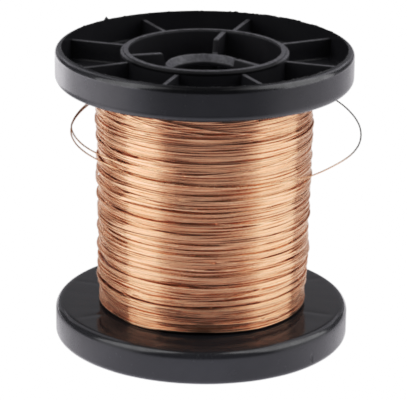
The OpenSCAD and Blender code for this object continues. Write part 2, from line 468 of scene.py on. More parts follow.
def wind(seed, base, layers):
    """Lays wire turn by turn on a bumpy drum, in small groups that lie side by side, and returns the turns as (radius, height) round the axis, and the height map."""
    rng = np.random.default_rng(seed)
    A = WIRE_R
    nz = int(round((Z1 - Z0) / DZ)) + 1
    zz = Z0 + DZ * np.arange(nz)
    th = np.arange(NT) * 2 * np.pi / NT
    h = base + swell(th[:, None], zz[None, :])

    def band(n, lo, hi, amp):
        out = np.zeros((NT, nz))
        for _ in range(n):
            p, m = rng.uniform(lo, hi), rng.integers(0, 3)
            out += np.cos(2 * np.pi * zz[None, :] / p + rng.uniform(0, 6.28) + 0.8 * np.cos(m * th[:, None] + rng.uniform(0, 6.28)))
        return amp * out / np.sqrt(n)

    h += band(6, 1.0, 2.4, 0.02) + band(4, 4, 12, 0.03)
    w = int(round(A / DZ))
    offs = np.arange(-w, w + 1)
    rows = np.arange(NT)

    def touch(zc, at):
        i0 = np.clip(np.round((zc - Z0) / DZ).astype(int), w, nz - 1 - w)
        idx = i0[:, None] + offs[None, :]
        d = zz[idx] - zc[:, None]
        ar = np.sqrt(np.maximum(A * A - d * d, 0))
        return np.where(np.abs(d) <= A, h[at[:, None], idx] + ar, -1e9).max(1)

    K = np.arange(1, 8)
    amp_k = WANDER / K ** 0.8
    phase = rng.uniform(0, 6.28, K.size)
    gain = rng.standard_normal(K.size)
    steps = np.arange(-SLIP, SLIP + 1) * DZ
    turns, carry, z, direction, prev, layer = [], 0.0, Z0 + A, 1, 0.0, 0
    group = 5
    AHEAD = 40
    n = NT + AHEAD
    around = np.arange(n) % NT
    while layer < layers:
        group -= 1
        p = 0.356 + 0.012 * rng.standard_normal()
        if group <= 0:
            # a new group of turns starts after a gap, or on top of the last one, and wanders another way
            group = rng.integers(*GROUP)
            p += rng.choice(GAPS)
            gain = 0.45 * gain + 0.9 * rng.standard_normal(K.size)
            phase += rng.normal(0, 0.9, K.size)
        else:
            gain = 0.99 * gain + 0.06 * rng.standard_normal(K.size)
            phase += rng.normal(0, 0.04, K.size)
        wob = (amp_k[:, None] * gain[:, None] * np.sin(K[:, None] * (np.arange(n) * 2 * np.pi / NT)[None, :] + phase[:, None])).sum(0)
        wob -= wob[0]
        zc = np.clip(z + direction * p * np.arange(n) / NT + wob + prev, Z0 + A + 0.01, Z1 - A - 0.01)
        cost = np.stack([touch(np.clip(zc + s, Z0 + A, Z1 - A), around) for s in steps], 0) + 0.5 * np.abs(steps)[:, None]
        best = steps[cost.argmin(0)]
        k = 15
        pad = np.concatenate([np.full(k, best[0]), best, np.full(k, best[-1])])
        sm = np.convolve(pad, np.ones(2 * k + 1) / (2 * k + 1), "same")[k:-k]
        ramp = np.minimum(1, np.arange(n) / 25.0)
        ramp = ramp * ramp * (3 - 2 * ramp)
        zc = np.clip(zc + sm * ramp + carry * (1 - ramp), Z0 + A + 0.01, Z1 - A - 0.01)
        carry = sm[NT]
        c = touch(zc, around)
        # taut wire bridges the dips; what lies before this turn holds it too
        lead = turns[-1][0][-AHEAD:] if turns else np.full(AHEAD, c[0])
        c = np.concatenate([lead, c])
        for s in (14, 10, 7, 5, 3, 2, 1):
            left, right = np.roll(c, s), np.roll(c, -s)
            left[:s], right[-s:] = c[:s], c[-s:]
            m = 0.5 * (left + right) * math.cos(s * 2 * np.pi / NT)
            m[:AHEAD] = 0
            c = np.maximum(c, m)
        for _ in range(8):
            m = c.copy()
            m[1:-1] = 0.25 * c[:-2] + 0.5 * c[1:-1] + 0.25 * c[2:]
            m[:AHEAD] = 0
            c = np.maximum(c, m)
        c = c[AHEAD:AHEAD + NT]
        zc = zc[:NT + 1]
        end = zc[-1]
        zc = zc[:NT]
        turns.append((c, zc, layer))
        i0 = np.clip(np.round((zc - Z0) / DZ).astype(int), w, nz - 1 - w)
        idx = i0[:, None] + offs[None, :]
        d = zz[idx] - zc[:, None]
        top = np.where(np.abs(d) <= A, c[:, None] + np.sqrt(np.maximum(A * A - d * d, 0)), 0)
        h[rows[:, None], idx] = np.maximum(h[rows[:, None], idx], top)
        z += direction * p
        prev = end - z - carry
        if abs(prev) > 0.25:
            prev *= 0.97
        if direction > 0 and z > Z1 - A - 0.05:
            direction, layer, z, prev = -1, layer + 1, Z1 - A - 0.02, 0
        elif direction < 0 and z < Z0 + A + 0.05:
            direction, layer, z, prev = 1, layer + 1, Z0 + A + 0.02, 0
    # one wire, without steps from turn to turn
    C = np.concatenate([t[0] for t in turns])
    Zc = np.concatenate([t[1] for t in turns])
    g = np.exp(-0.5 * (np.arange(-12, 13) / 4.0) ** 2)
    g /= g.sum()
    for _ in range(3):
        m = np.convolve(np.pad(C, 12, mode="edge"), g, "valid")
        C = np.maximum(C, m) if _ < 2 else m
    Zc = np.convolve(np.pad(Zc, 12, mode="edge"), g, "valid")
    turns = [(C[i * NT:(i + 1) * NT], Zc[i * NT:(i + 1) * NT], t[2]) for i, t in enumerate(turns)]
    return turns, h, zz


def wire_tubes(runs, sides=7, wide=1.0, radius=WIRE_R):
    """Closed tubes along runs of (n, 3) points in mm, with a tone for each point. Returns vertices, quads, tris, tones."""
    V, Q, T, tone = [], [], [], []
    at = 0
    # more of the corners face outwards, where they show
    ang = np.radians([-90, -52, -17, 17, 52, 90, 180]) if sides == 7 else np.arange(sides) * 2 * np.pi / sides
    m = len(ang)
    for P, tn in runs:
        n = len(P)
        tg = np.gradient(P, axis=0)
        tg /= np.linalg.norm(tg, axis=1)[:, None]
        out = np.column_stack([P[:, 0], P[:, 1], np.zeros(n)])
        out -= tg * (out * tg).sum(1)[:, None]
        out /= np.linalg.norm(out, axis=1)[:, None]
        side = np.cross(tg, out)
        ring = P[:, None, :] + radius * (np.cos(ang)[None, :, None] * out[:, None, :] + wide * np.sin(ang)[None, :, None] * side[:, None, :])
        V.append(ring.reshape(-1, 3))
        i, j = np.meshgrid(np.arange(n - 1), np.arange(m), indexing="ij")
        j2 = (j + 1) % m
        Q.append(at + np.stack([i * m + j, (i + 1) * m + j, (i + 1) * m + j2, i * m + j2], -1).reshape(-1, 4))
        V.append(P[[0, -1]])
        c0, c1 = at + n * m, at + n * m + 1
        j = np.arange(m)
        T.append(np.stack([np.full(m, c0), at + j, at + (j + 1) % m], -1))
        T.append(np.stack([np.full(m, c1), at + (n - 1) * m + (j + 1) % m, at + (n - 1) * m + j], -1))
        tone.append(np.repeat(tn, m))
        tone.append(tn[[0, -1]])
        at += n * m + 2
    return np.concatenate(V), np.concatenate(Q), np.concatenate(T), np.concatenate(tone)


def tone_attribute(ob, values, name="tone"):
    a = ob.data.attributes.new(name, "FLOAT", "POINT")
    a.data.foreach_set("value", np.asarray(values, np.float32))


# ---------------------------------------------------------------- materials
def material(name):
    m = bpy.data.materials.new(name)
    m.use_nodes = True
    nt = m.node_tree
    bsdf = next(n for n in nt.nodes if n.type == "BSDF_PRINCIPLED")
    return m, nt, bsdf


def ramp(nt, fac, stops):
    r = nt.nodes.new("ShaderNodeValToRGB")
    e = r.color_ramp.elements
    while len(e) < len(stops):
        e.new(0.5)
    for el, (p, c) in zip(e, stops):
        el.position = p
        el.color = (*c, 1) if len(c) == 3 else c
    nt.links.new(fac, r.inputs[0])
    return r.outputs[0]


def noise(nt, scale, detail=3, rough=0.5, vec=None, dist=0.0):
    n = nt.nodes.new("ShaderNodeTexNoise")
    n.inputs["Scale"].default_value = scale
    n.inputs["Detail"].default_value = detail
    n.inputs["Roughness"].default_value = rough
    n.inputs["Distortion"].default_value = dist
    if vec is None:
        tc = nt.nodes.new("ShaderNodeTexCoord")
        vec = tc.outputs["Object"]
    nt.links.new(vec, n.inputs["Vector"])
    return n.outputs["Fac"]


def map_range(nt, fac, lo, hi, a=0.3, b=0.7):
    m = nt.nodes.new("ShaderNodeMapRange")
    m.inputs["From Min"].default_value = a
    m.inputs["From Max"].default_value = b
    m.inputs["To Min"].default_value = lo
    m.inputs["To Max"].default_value = hi
    nt.links.new(fac, m.inputs["Value"])
    return m.outputs["Result"]


def bump(nt, bsdf, height, strength, distance):
    b = nt.nodes.new("ShaderNodeBump")
    b.inputs["Strength"].default_value = strength
    b.inputs["Distance"].default_value = distance
    nt.links.new(height, b.inputs["Height"])
    nt.links.new(b.outputs["Normal"], bsdf.inputs["Normal"])


def math_node(nt, op, a, b=None, c=None):
    n = nt.nodes.new("ShaderNodeMath")
    n.operation = op
    for k, v in enumerate((a, b, c)):
        if v is None:
            continue
        if isinstance(v, (int, float)):
            n.inputs[k].default_value = v
        else:
            nt.links.new(v, n.inputs[k])
    return n.outputs[0]


def near(nt, value, at, width):
    """1 where value is at, falling to 0 at width away from it."""
    d = math_node(nt, "ABSOLUTE", math_node(nt, "SUBTRACT", value, at))
    return map_range(nt, d, 1.0, 0.0, 0.5 * width, width)


def axial(nt):
    """Radius round the spool's axis and height, in metres."""
    tc = nt.nodes.new("ShaderNodeTexCoord")
    sep = nt.nodes.new("ShaderNodeSeparateXYZ")
    nt.links.new(tc.outputs["Object"], sep.inputs[0])
    x, y, z = sep.outputs
    r = math_node(nt, "SQRT", math_node(nt, "ADD", math_node(nt, "MULTIPLY", x, x), math_node(nt, "MULTIPLY", y, y)))
    return r, z


def zone(nt, value, lo, hi, soft=0.06):
    """1 between lo and hi (mm), 0 outside, soft at both ends."""
    a = map_range(nt, value, 0.0, 1.0, (lo - soft) * MM, lo * MM)
    return math_node(nt, "MULTIPLY", a, map_range(nt, value, 1.0, 0.0, hi * MM, (hi + soft) * MM))


def plastic(name, dark, light, rlo, rhi, worn_r, worn_z, polished=(), dull=None, grain=0.00001, painted_highlight_tops=(), brightened=(), painted_shade_front=()):
    """Moulded black plastic: cloudy, finely grained, paler where the edge at radius worn_r is nicked, glossier on the
    faces at the polished heights, and of roughness dull inside the rims. Narrow tops in the painted highlight zones
    (distance from mid height, radius) are painted greyer, by their gain, as a painted highlight; edges in the
    brightened zones (height, radius) shine; the front of the painted shade zones (height, radius, depth, half width) is
    painted black as painted shade, and dull. All mm.
    """
    m, nt, b = material(name)
    big = noise(nt, 90, 4, 0.6)
    fine = noise(nt, 2600, 2, 0.5)
    r, z = axial(nt)
    # stress-whitened nicks along one edge at both ends of the spool
    at_r = near(nt, r, worn_r * MM, 0.16 * MM)
    up = math_node(nt, "ABSOLUTE", math_node(nt, "SUBTRACT", z, 0.5 * SPOOL_H * MM))
    at_z = map_range(nt, up, 0.0, 1.0, (worn_z - 0.5 * SPOOL_H - 0.12) * MM, (worn_z - 0.5 * SPOOL_H - 0.02) * MM)
    spots = map_range(nt, noise(nt, 700, 3, 0.7), 0.0, 1.0, 0.63, 0.70)
    worn = math_node(nt, "MULTIPLY", math_node(nt, "MULTIPLY", at_r, at_z), spots)
    mix = nt.nodes.new("ShaderNodeMix")
    mix.data_type = "RGBA"
    nt.links.new(worn, mix.inputs["Factor"])
    a_in, b_in = [k for k in mix.inputs if k.type == "RGBA"]
    base = ramp(nt, big, [(0.3, dark), (0.72, light)])
    # painted highlight: narrow tops are painted grey where light from above would brighten them
    for u0, u1, r0, r1, gain in painted_highlight_tops:
        top = math_node(nt, "MULTIPLY", zone(nt, up, u0, u1), zone(nt, r, r0, r1))
        painted_highlight_mix = nt.nodes.new("ShaderNodeMix")
        painted_highlight_mix.data_type = "RGBA"
        nt.links.new(top, painted_highlight_mix.inputs["Factor"])
        g_a, g_b = [k for k in painted_highlight_mix.inputs if k.type == "RGBA"]
        nt.links.new(base, g_a)
        nt.links.new(ramp(nt, noise(nt, 900, 4, 0.65), [(0.35, (0.092 * gain, 0.091 * gain, 0.099 * gain)), (0.68, (0.162 * gain, 0.161 * gain, 0.173 * gain))]), g_b)
        base = next(o for o in painted_highlight_mix.outputs if o.type == "RGBA")
    black = None
    # painted shade: the front of these zones is painted black and made dull, standing in for the shaded front of the
    # socket's and rim's tops
    if painted_shade_front:
        sep = nt.nodes.new("ShaderNodeSeparateXYZ")
        nt.links.new(nt.nodes.new("ShaderNodeTexCoord").outputs["Object"], sep.inputs[0])
        across = math_node(nt, "ABSOLUTE", sep.outputs["X"])
        for u0, u1, r0, r1, y0, y1, x0, x1 in painted_shade_front:
            front = math_node(nt, "MULTIPLY", map_range(nt, sep.outputs["Y"], 1.0, 0.0, y0 * MM, y1 * MM), map_range(nt, across, 1.0, 0.0, x0 * MM, x1 * MM))
            spot = math_node(nt, "MULTIPLY", front, math_node(nt, "MULTIPLY", zone(nt, z, u0, u1), zone(nt, r, r0, r1, 0.03)))
            black = spot if black is None else math_node(nt, "MAXIMUM", black, spot)
            painted_shade_mix = nt.nodes.new("ShaderNodeMix")
            painted_shade_mix.data_type = "RGBA"
            nt.links.new(spot, painted_shade_mix.inputs["Factor"])
            g_a, g_b = [k for k in painted_shade_mix.inputs if k.type == "RGBA"]
            nt.links.new(base, g_a)
            g_b.default_value = (0.012, 0.012, 0.0135, 1)
            base = next(o for o in painted_shade_mix.outputs if o.type == "RGBA")
    nt.links.new(base, a_in)
    nt.links.new(ramp(nt, fine, [(0.3, (0.34, 0.34, 0.35)), (0.7, (0.52, 0.52, 0.53))]), b_in)
    nt.links.new(next(o for o in mix.outputs if o.type == "RGBA"), b.inputs["Base Color"])
    rough = map_range(nt, noise(nt, 240, 5, 0.65), rlo, rhi)
    for h in polished:
        rough = math_node(nt, "MULTIPLY", rough, map_range(nt, near(nt, z, h * MM, 0.5 * MM), 1.0, 0.45, 0, 1))
    if dull is not None:
        within = math_node(nt, "MULTIPLY", map_range(nt, r, 1.0, 0.0, 38.1 * MM, 38.25 * MM), map_range(nt, up, 0.0, 1.0, 31.2 * MM, 31.5 * MM))
        rough = math_node(nt, "ADD", rough, math_node(nt, "MULTIPLY", within, dull - 0.5 * (rlo + rhi)))
    nt.links.new(rough, b.inputs["Roughness"])
    b.inputs["IOR"].default_value = 1.5
    shine = None
    for z0, z1, r0, r1 in brightened:
        edge = math_node(nt, "MULTIPLY", zone(nt, z, z0, z1, 0.25), zone(nt, r, r0, r1, 0.1))
        edge = math_node(nt, "MULTIPLY", edge, map_range(nt, noise(nt, 260, 4, 0.6), 0.5, 0.85))
        shine = edge if shine is None else math_node(nt, "MAXIMUM", shine, edge)
    if black is not None:
        nt.links.new(map_range(nt, black, 0.5, 0.22, 0, 1), b.inputs["Specular IOR Level"])
        if shine is not None:
            shine = math_node(nt, "MULTIPLY", shine, map_range(nt, black, 1.0, 0.12, 0, 1))
    if shine is not None:
        nt.links.new(shine, b.inputs["Coat Weight"])
        b.inputs["Coat IOR"].default_value = 1.8
        b.inputs["Coat Roughness"].default_value = 0.10
    bump(nt, b, fine, 0.5, grain)
    return m


def copper(name, stops, rlo, rhi, mottle=0.20, grain=0.000012):
    m, nt, b = material(name)
    at = nt.nodes.new("ShaderNodeAttribute")
    at.attribute_name = "tone"
    mix = nt.nodes.new("ShaderNodeMath")
    mix.operation = "MULTIPLY_ADD"
    mix.inputs[1].default_value = mottle
    nt.links.new(noise(nt, 420, 4, 0.6), mix.inputs[0])
    nt.links.new(at.outputs["Fac"], mix.inputs[2])
    nt.links.new(ramp(nt, mix.outputs[0], stops), b.inputs["Base Color"])
    nt.links.new(map_range(nt, noise(nt, 900, 3, 0.6), rlo, rhi), b.inputs["Roughness"])
    b.inputs["Metallic"].default_value = 1.0
    bump(nt, b, noise(nt, 5200, 2, 0.5), 0.4, grain)
    return m


# painted highlight on the rib, ring, fin and tube tops and in the collar's funnel; painted shade on the front of the
# socket's top and of the rim's top
flange_mat = plastic("flange_plastic", (0.028, 0.028, 0.0325), (0.037, 0.037, 0.0425), 0.20, 0.29, 38.30, 81.0, (9.5, 71.5), 0.42, painted_highlight_tops=((38.74, 39.75, 21.6, 37.9, 1.0),), brightened=((79.6, 80.62, 38.5, 42), (8.45, 8.95, 38.2, 42)), painted_shade_front=((79.2, 80.5, 21.7, 22.8, -12.5, -7, 30, 40), (79.45, 81.2, 38.2, 40.4, -20, -10, 8.0, 17.0)))
barrel_mat = plastic("barrel_plastic", (0.029, 0.0285, 0.033), (0.039, 0.0385, 0.044), 0.38, 0.48, 21.66, 80.3, painted_highlight_tops=((39.3, 40.2, 8, 21.7, 1.0), (33.9, 36.1, 8.9, 11.4, 1.5)))
# the ramp runs from its darkest stop, reached by turns sunk below their neighbours as painted shade, up to the turns'
# random tones
wire_mat = copper(
    "copper_wire",
    [(0.0, (0.80, 0.385, 0.226)), (0.30, (0.865, 0.522, 0.350)), (0.70, (0.892, 0.553, 0.368)), (1.0, (0.912, 0.580, 0.382))],
    0.07, 0.12,
)
loose_mat = copper("copper_loose", [(0.0, (0.04, 0.034, 0.03)), (0.2, (0.16, 0.125, 0.10)), (0.55, (0.78, 0.44, 0.28)), (1.0, (0.90, 0.57, 0.37))], 0.22, 0.30, 0.08, 0.000002)
loose_mat.node_tree.nodes["Principled BSDF"].inputs["Specular Tint"].default_value = (0.4, 0.4, 0.4, 1)
# painted shade: the drum beneath the top turns is a darker copper than the wire
core_shade_mat = copper("copper_core_shaded", [(0.2, (0.62, 0.29, 0.16)), (0.8, (0.74, 0.37, 0.22))], 0.28, 0.4)


# ---------------------------------------------------------------- camera
ELEV, ROLL, DIST = math.radians(18.621), math.radians(0.794), 665.723
target = Vector((0, 0, 0.040))
back = Vector((0, -math.cos(ELEV), math.sin(ELEV)))
right = Vector((1, 0, 0))
up = back.cross(right)
cam_x = right * math.cos(ROLL) + up * math.sin(ROLL)
cam_y = up * math.cos(ROLL) - right * math.sin(ROLL)
cam_data = bpy.data.cameras.new("camera")
cam = bpy.data.objects.new("camera", cam_data)
scene.collection.objects.link(cam)
mat = Matrix((cam_x, cam_y, back)).transposed().to_4x4()
mat.translation = target + back * DIST * MM
cam.matrix_world = mat
cam_data.sensor_fit = "AUTO"
cam_data.sensor_width = 36.0
cam_data.lens = 2450.417 * 36.0 / W
cam_data.shift_x = (W / 2 - 202.866) / W
cam_data.shift_y = (192.554 - H / 2) / W
cam_data.clip_start, cam_data.clip_end = 0.01, 50
scene.camera = cam

# ---------------------------------------------------------------- winding
turns, hmap, zz = wind(11, 27.15, 4)
# turns settle into one another: the relief is pressed down
SETTLE = 0.80
g = np.exp(-0.5 * (np.arange(-90, 91) / 26.0) ** 2)
g /= g.sum()
level = np.stack([np.convolve(np.pad(row, 90, mode="edge"), g, "valid") for row in hmap])
level = 0.25 * np.roll(level, 4, 0) + 0.5 * level + 0.25 * np.roll(level, -4, 0)
broad = swell(np.arange(NT)[:, None] * 2 * np.pi / NT, zz[None, :])
broad = broad + (level - broad).mean()
evened = broad + 0.5 * (level - broad)
rng = np.random.default_rng(77)
turn_tone = rng.uniform(0.3, 0.8, len(turns) + 1)
STEP = 3


def visible_runs(turns, hmap):
    """Runs of wire that can be seen from outside, as point lists."""
    P, tone, keep = [], [], []
    w = int(round(WIRE_R / DZ))
    rows = np.arange(NT)
    for t, (c, zc, layer) in enumerate(turns):
        i0 = np.clip(np.round((zc - Z0) / DZ).astype(int), w, len(zz) - 1 - w)
        see = np.zeros(NT, bool)
        sunk_shade = np.zeros(NT)
        for o in range(-w, w + 1):
            d = zz[i0 + o] - zc
            top = c + np.sqrt(np.maximum(WIRE_R ** 2 - d * d, 0))
            see |= hmap[rows, i0 + o] < top + 0.26
            sunk_shade += np.clip(hmap[rows, i0 + o] - top, 0, 0.3) / 0.3 / (2 * w + 1)
        for r in range(1, 7):
            see = see | np.roll(see, 1) | np.roll(see, -1)
        idx = np.arange(0, NT, STEP)
        a = np.radians(idx * 360.0 / NT)
        cs = (evened[rows, i0] - WIRE_R + SETTLE * (c - level[rows, i0] + WIRE_R))[idx]
        P.append(np.column_stack([cs * np.cos(a), cs * np.sin(a), zc[idx]]))
        f = idx / NT
        # painted shade: turns that lie below the wire around them get a darker tone
        tone.append((turn_tone[t] * (1 - f) + turn_tone[t + 1] * f) * (1 - 0.8 * sunk_shade[idx]))
        keep.append(see[idx])
    P, tone, keep = np.concatenate(P), np.concatenate(tone), np.concatenate(keep)
    runs, i = [], 0
    while i < len(P):
        if not keep[i]:
            i += 1
            continue
        j = i
        while j < len(P) and keep[j]:
            j += 1
        if j - i >= 4:
            runs.append((P[i:j], tone[i:j]))
        i = j
    return runs


def droop(P):
    """Lowers the bottom end of the winding a little where the turns have slid down to the flange."""
    az = np.degrees(np.arctan2(P[:, 1], P[:, 0]))
    by = np.interp(az, (-180, -165, -150, -135, -120, -105, -90, -75, -60, -40, 0, 60, 120, 180), (0.3, 0.4, 0.55, 0.65, 0.6, 0.25, -0.15, 0.15, 0.35, 0.3, 0.15, 0.25, 0.2, 0.3))
    out = P.copy()
    out[:, 2] -= by * np.clip((15 - P[:, 2]) / 5.0, 0, 1)
    return out


def stray(rng, start, span, z, rise):
    """A length of wire that crosses over the turns beneath it, from start over span degrees, with both ends tucked in."""
    n = int(span / 2)
    t = np.linspace(0, 1, n)
    ang = start + span * t
    zc = np.clip(z + rise * (t + 0.06 * np.sin(2 * np.pi * t * rng.uniform(0.6, 1.4) + rng.uniform(0, 6))), Z0 + 0.3, Z1 - 0.3)
    ai = np.round(ang).astype(int) % NT
    w = int(round(WIRE_R / DZ))
    i0 = np.clip(np.round((zc - Z0) / DZ).astype(int), w, len(zz) - 1 - w)
    r = np.zeros(n)
    for o in range(-w, w + 1):
        d = zz[i0 + o] - zc
        r = np.maximum(r, surface[ai, i0 + o] + np.sqrt(np.maximum(WIRE_R ** 2 - d * d, 0)))
    for s in (4, 3, 2, 1):
        left, right = np.roll(r, s), np.roll(r, -s)
        left[:s], right[-s:] = r[:s], r[-s:]
        r = np.maximum(r, 0.5 * (left + right) * math.cos(math.radians(2 * s)))
    for _ in range(3):
        r[1:-1] = 0.25 * r[:-2] + 0.5 * r[1:-1] + 0.25 * r[2:]
    end = np.minimum(t, 1 - t) * span / 9.0
    r = r - 0.10 - 0.42 * np.clip(1 - end, 0, 1) ** 1.5
    a = np.radians(ang)
    return np.column_stack([r * np.cos(a), r * np.sin(a), zc]), np.full(n, rng.uniform(0.35, 0.8))


surface = evened + SETTLE * (hmap - level)
runs = visible_runs(turns, hmap)
rng = np.random.default_rng(404)
# across the top left of the front, where the last turns came down from the flange
for start, span, z, rise in ((178, 95, 70.6, -5.2), (186, 80, 69.2, -3.6), (200, 110, 70.9, -6.8), (171, 70, 66.8, -3.0)):
    runs.append(stray(rng, start, span, z, rise))
for _ in range(26):
    runs.append(stray(rng, rng.uniform(0, 360), rng.uniform(50, 150), rng.uniform(12, 69), rng.choice([-1, 1]) * rng.uniform(0.5, 3.4)))
total = sum(len(p) for p, _ in runs)
LIMIT = 12500  # rings in one piece, so that each piece stays well under 200 000 triangles
pieces, load, group = [], 0, []
for p, tn in runs:
    while len(p) > 0:
        room = LIMIT - load
        if len(p) <= room or room < 40:
            if room < 40:
                pieces.append(group)
                group, load = [], 0
                continue
            group.append((p, tn))
            load += len(p)
            break
        group.append((p[:room], tn[:room]))
        pieces.append(group)
        p, tn, group, load = p[room - 1:], tn[room - 1:], [], 0
        if len(p) < 4:
            break
if group:
    pieces.append(group)
wire_objects = []
for i, g in enumerate(pieces):
    v, q, t3, tn = wire_tubes([(droop(pts), tone) for pts, tone in g], wide=LAID)
    ob = new_mesh(f"winding_wire_{i + 1}", v, [q, t3])
    tone_attribute(ob, tn)
    ob.data.materials.append(wire_mat)
    wire_objects.append(ob)

# the turns beneath, as one drum, in a darker copper: painted shade in the gaps between the top turns
rngc = np.random.default_rng(5)
core_r = 27.7
zs = np.linspace(Z0 + 0.15, Z1 - 0.15, 170)
pts = [(TUBE_R + 0.02, Z0), (24, Z0), (core_r - 0.3, Z0)] + [(core_r + 0.06 * math.cos(i * math.pi), z) for i, z in enumerate(zs)] + [(core_r - 0.3, Z1), (24, Z1), (TUBE_R + 0.02, Z1)]
rings = np.repeat(np.array(pts, float)[:, None, :], NT // STEP, 1)
rings[2:-2, :, 0] += swell(np.arange(0, NT, STEP)[None, :] * 2 * np.pi / NT, rings[2:-2, :, 1])
co, f = revolve("winding_core", rings, NT // STEP)
core = new_mesh("winding_core", droop(co), f)
fix_normals(core)
tone_attribute(core, np.full(len(core.data.vertices), 0.5))
core.data.materials.append(core_shade_mat)

# ---------------------------------------------------------------- the wire's loose end
LOOSE = [
    (38, 28.3, 63.9), (50, 28.8, 64.0), (70, 29.8, 63.8), (95, 33.0, 63.0),
    (125, 35.3, 61.5), (155, 35.6, 59.5), (173, 36.2, 57.1), (185, 35.0, 55.1),
    (195, 32.5, 53.6), (206, 30.0, 52.7), (216, 28.9, 52.2), (230, 28.8, 51.9),
    (250, 28.8, 51.6), (270, 28.8, 51.2), (290, 28.8, 50.8), (305, 28.9, 50.4),
    (318, 30.4, 50.4), (328, 33.3, 51.0), (339, 38.6, 53.4), (350, 41.5, 55.3),
    (362, 42.5, 57.2), (376, 42.5, 59.0), (390, 41.8, 60.7), (415, 41.3, 62.2),
    (440, 41.0, 62.8), (465, 40.3, 62.4), (490, 38.9, 61.0), (512, 37.2, 59.0),
    (528, 36.5, 57.5), (537, 35.8, 57.1), (548, 34.3, 56.3), (558, 32.6, 55.5),
    (567, 30.8, 54.9), (576, 29.1, 54.4), (590, 28.8, 54.6), (606, 28.8, 54.8),
    (622, 28.3, 54.8),
]


def spline(a, b, c, d, t):
    return 0.5 * (2 * b + (c - a) * t + (2 * a - 5 * b + 4 * c - d) * t * t + (3 * b - a - 3 * c + d) * t ** 3)


lp = np.array(LOOSE, float)
route = []
for i in range(len(lp) - 1):
    a, b, c, d = lp[max(0, i - 1)], lp[i], lp[i + 1], lp[min(len(lp) - 1, i + 2)]
    n = max(3, int((c[0] - b[0]) / 2.0))
    for k in range(n):
        route.append(spline(a, b, c, d, k / n))
route.append(lp[-1])
route = np.array(route)
# where the strand lies on the winding it rests on the turns beneath it
w = int(round(WIRE_R / DZ))
for k in range(len(route)):
    ang, r, z = route[k]
    if r > 29.6:
        continue
    ai = int(round(ang)) % NT
    i0 = int(round((z - Z0) / DZ))
    best = 0
    for o in range(-w, w + 1):
        d = zz[i0 + o] - z
        best = max(best, surface[ai, i0 + o] + math.sqrt(max(WIRE_R ** 2 - d * d, 0)))
    inside = k < 6 or k > len(route) - 7
    if not inside and r < best:
        route[k, 1] = best
    elif not inside and r < 28.95:
        route[k, 1] = best
for _ in range(5):
    route[1:-1, 1] = np.maximum(route[1:-1, 1] * 0 + 0.25 * route[:-2, 1] + 0.5 * route[1:-1, 1] + 0.25 * route[2:, 1], 0)
LP = np.column_stack([route[:, 1] * np.cos(np.radians(route[:, 0])), route[:, 1] * np.sin(np.radians(route[:, 0])), route[:, 2]])
# bright copper where it lies on the winding and from 300 to 352 degrees, near black where it stands off elsewhere
# between 260 and 480 degrees, and a dim copper beyond
brightened = np.clip((31.5 - route[:, 1]) / 2.0, 0, 1)
brightened = np.maximum(brightened, np.interp(route[:, 0], (300, 318, 334, 352), (0, 1, 0.6, 0)))
brightened = np.maximum(brightened, 0.42 * ((route[:, 0] < 260) | (route[:, 0] > 480)))
v, q, t3, tn = wire_tubes([(LP, 0.85 * brightened)], sides=10, radius=0.215)
loose = new_mesh("loose_wire", v, [q, t3])
fix_normals(loose)
tone_attribute(loose, tn)
loose.data.materials.append(loose_mat)
length = float(np.linalg.norm(np.diff(LP, axis=0), axis=1).sum())
print("loose wire length mm", round(length, 1), "turns", len(turns), "rings", total, "pieces", len(pieces), "h", hmap.mean().round(3), hmap.std().round(3), np.percentile(hmap, [1, 50, 97, 100]).round(2))

# ---------------------------------------------------------------- plastic pieces
TORN = [(0, 0.16), (30, 0.22), (42, 0.12), (44, 0.10), (47, 0.25), (57, 0.28), (62, 0.24), (66, 0.16), (79, 0.13), (83, 0.05), (92, 0.07), (100, 0.02), (113, 0.03), (121, 0.07), (131, 0.08), (141, 0.06), (148, 0.17), (180, 0.10), (240, 0.14), (300, 0.12), (360, 0.16)]
upper = place(make_flange("upper_flange_moulding", 3, TORN, 0.13, spikes=[(135.7, 1.3, 1.0), (147.8, 1.4, 0.26), (141.0, 0.9, 0.24), (126.0, 0.9, 0.24), (37.0, 0.9, 0.42), (45.2, 1.0, -0.3), (58.0, 0.6, -0.3), (71.0, 1.2, -0.2)]), SPOOL_H - FLANGE_T)
lower = place(make_flange("lower_flange_moulding", 8, [(0, 0.0), (360, 0.0)], 0.012, gate=-42.2), FLANGE_T, flip=True)
tube = make_tube()
hub_u = place(make_hub("upper_hub_moulding", 21), SPOOL_H)
hub_l = place(make_hub("lower_hub_moulding", 22), 0, flip=True)
union(hub_u, burr("fin_burr", (8.7, -8.2, 79.93), (7.0, -8.1, 80.35), 0.13, 0.18, 5))
for ob in (upper, lower):
    ob.data.materials.clear()
    ob.data.materials.append(flange_mat)
for ob in (tube, hub_u, hub_l):
    ob.data.materials.clear()
    ob.data.materials.append(barrel_mat)

# ---------------------------------------------------------------- who rides what
for ob, node, slot in (
    (upper, "upper_flange", "flange_plastic"), (lower, "lower_flange", "flange_plastic"), (tube, "barrel_tube", "barrel_plastic"),
    (hub_u, "upper_hub", "barrel_plastic"), (hub_l, "lower_hub", "barrel_plastic"), (core, "winding", "copper_wire"), (loose, "loose_end", "copper_wire"),
):
    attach(ob, "root")
    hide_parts(node)
for ob in wire_objects:
    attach(ob, "root")
    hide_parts("winding")

# CAD nodes are hidden behind their detailed pieces, and still get a matching finish
for n, ob in nodes.items():
    ob.data.materials.clear()
    ob.data.materials.append(wire_mat if n in ("winding", "loose_end") else barrel_mat if n in ("barrel_tube", "upper_hub", "lower_hub") else flange_mat)

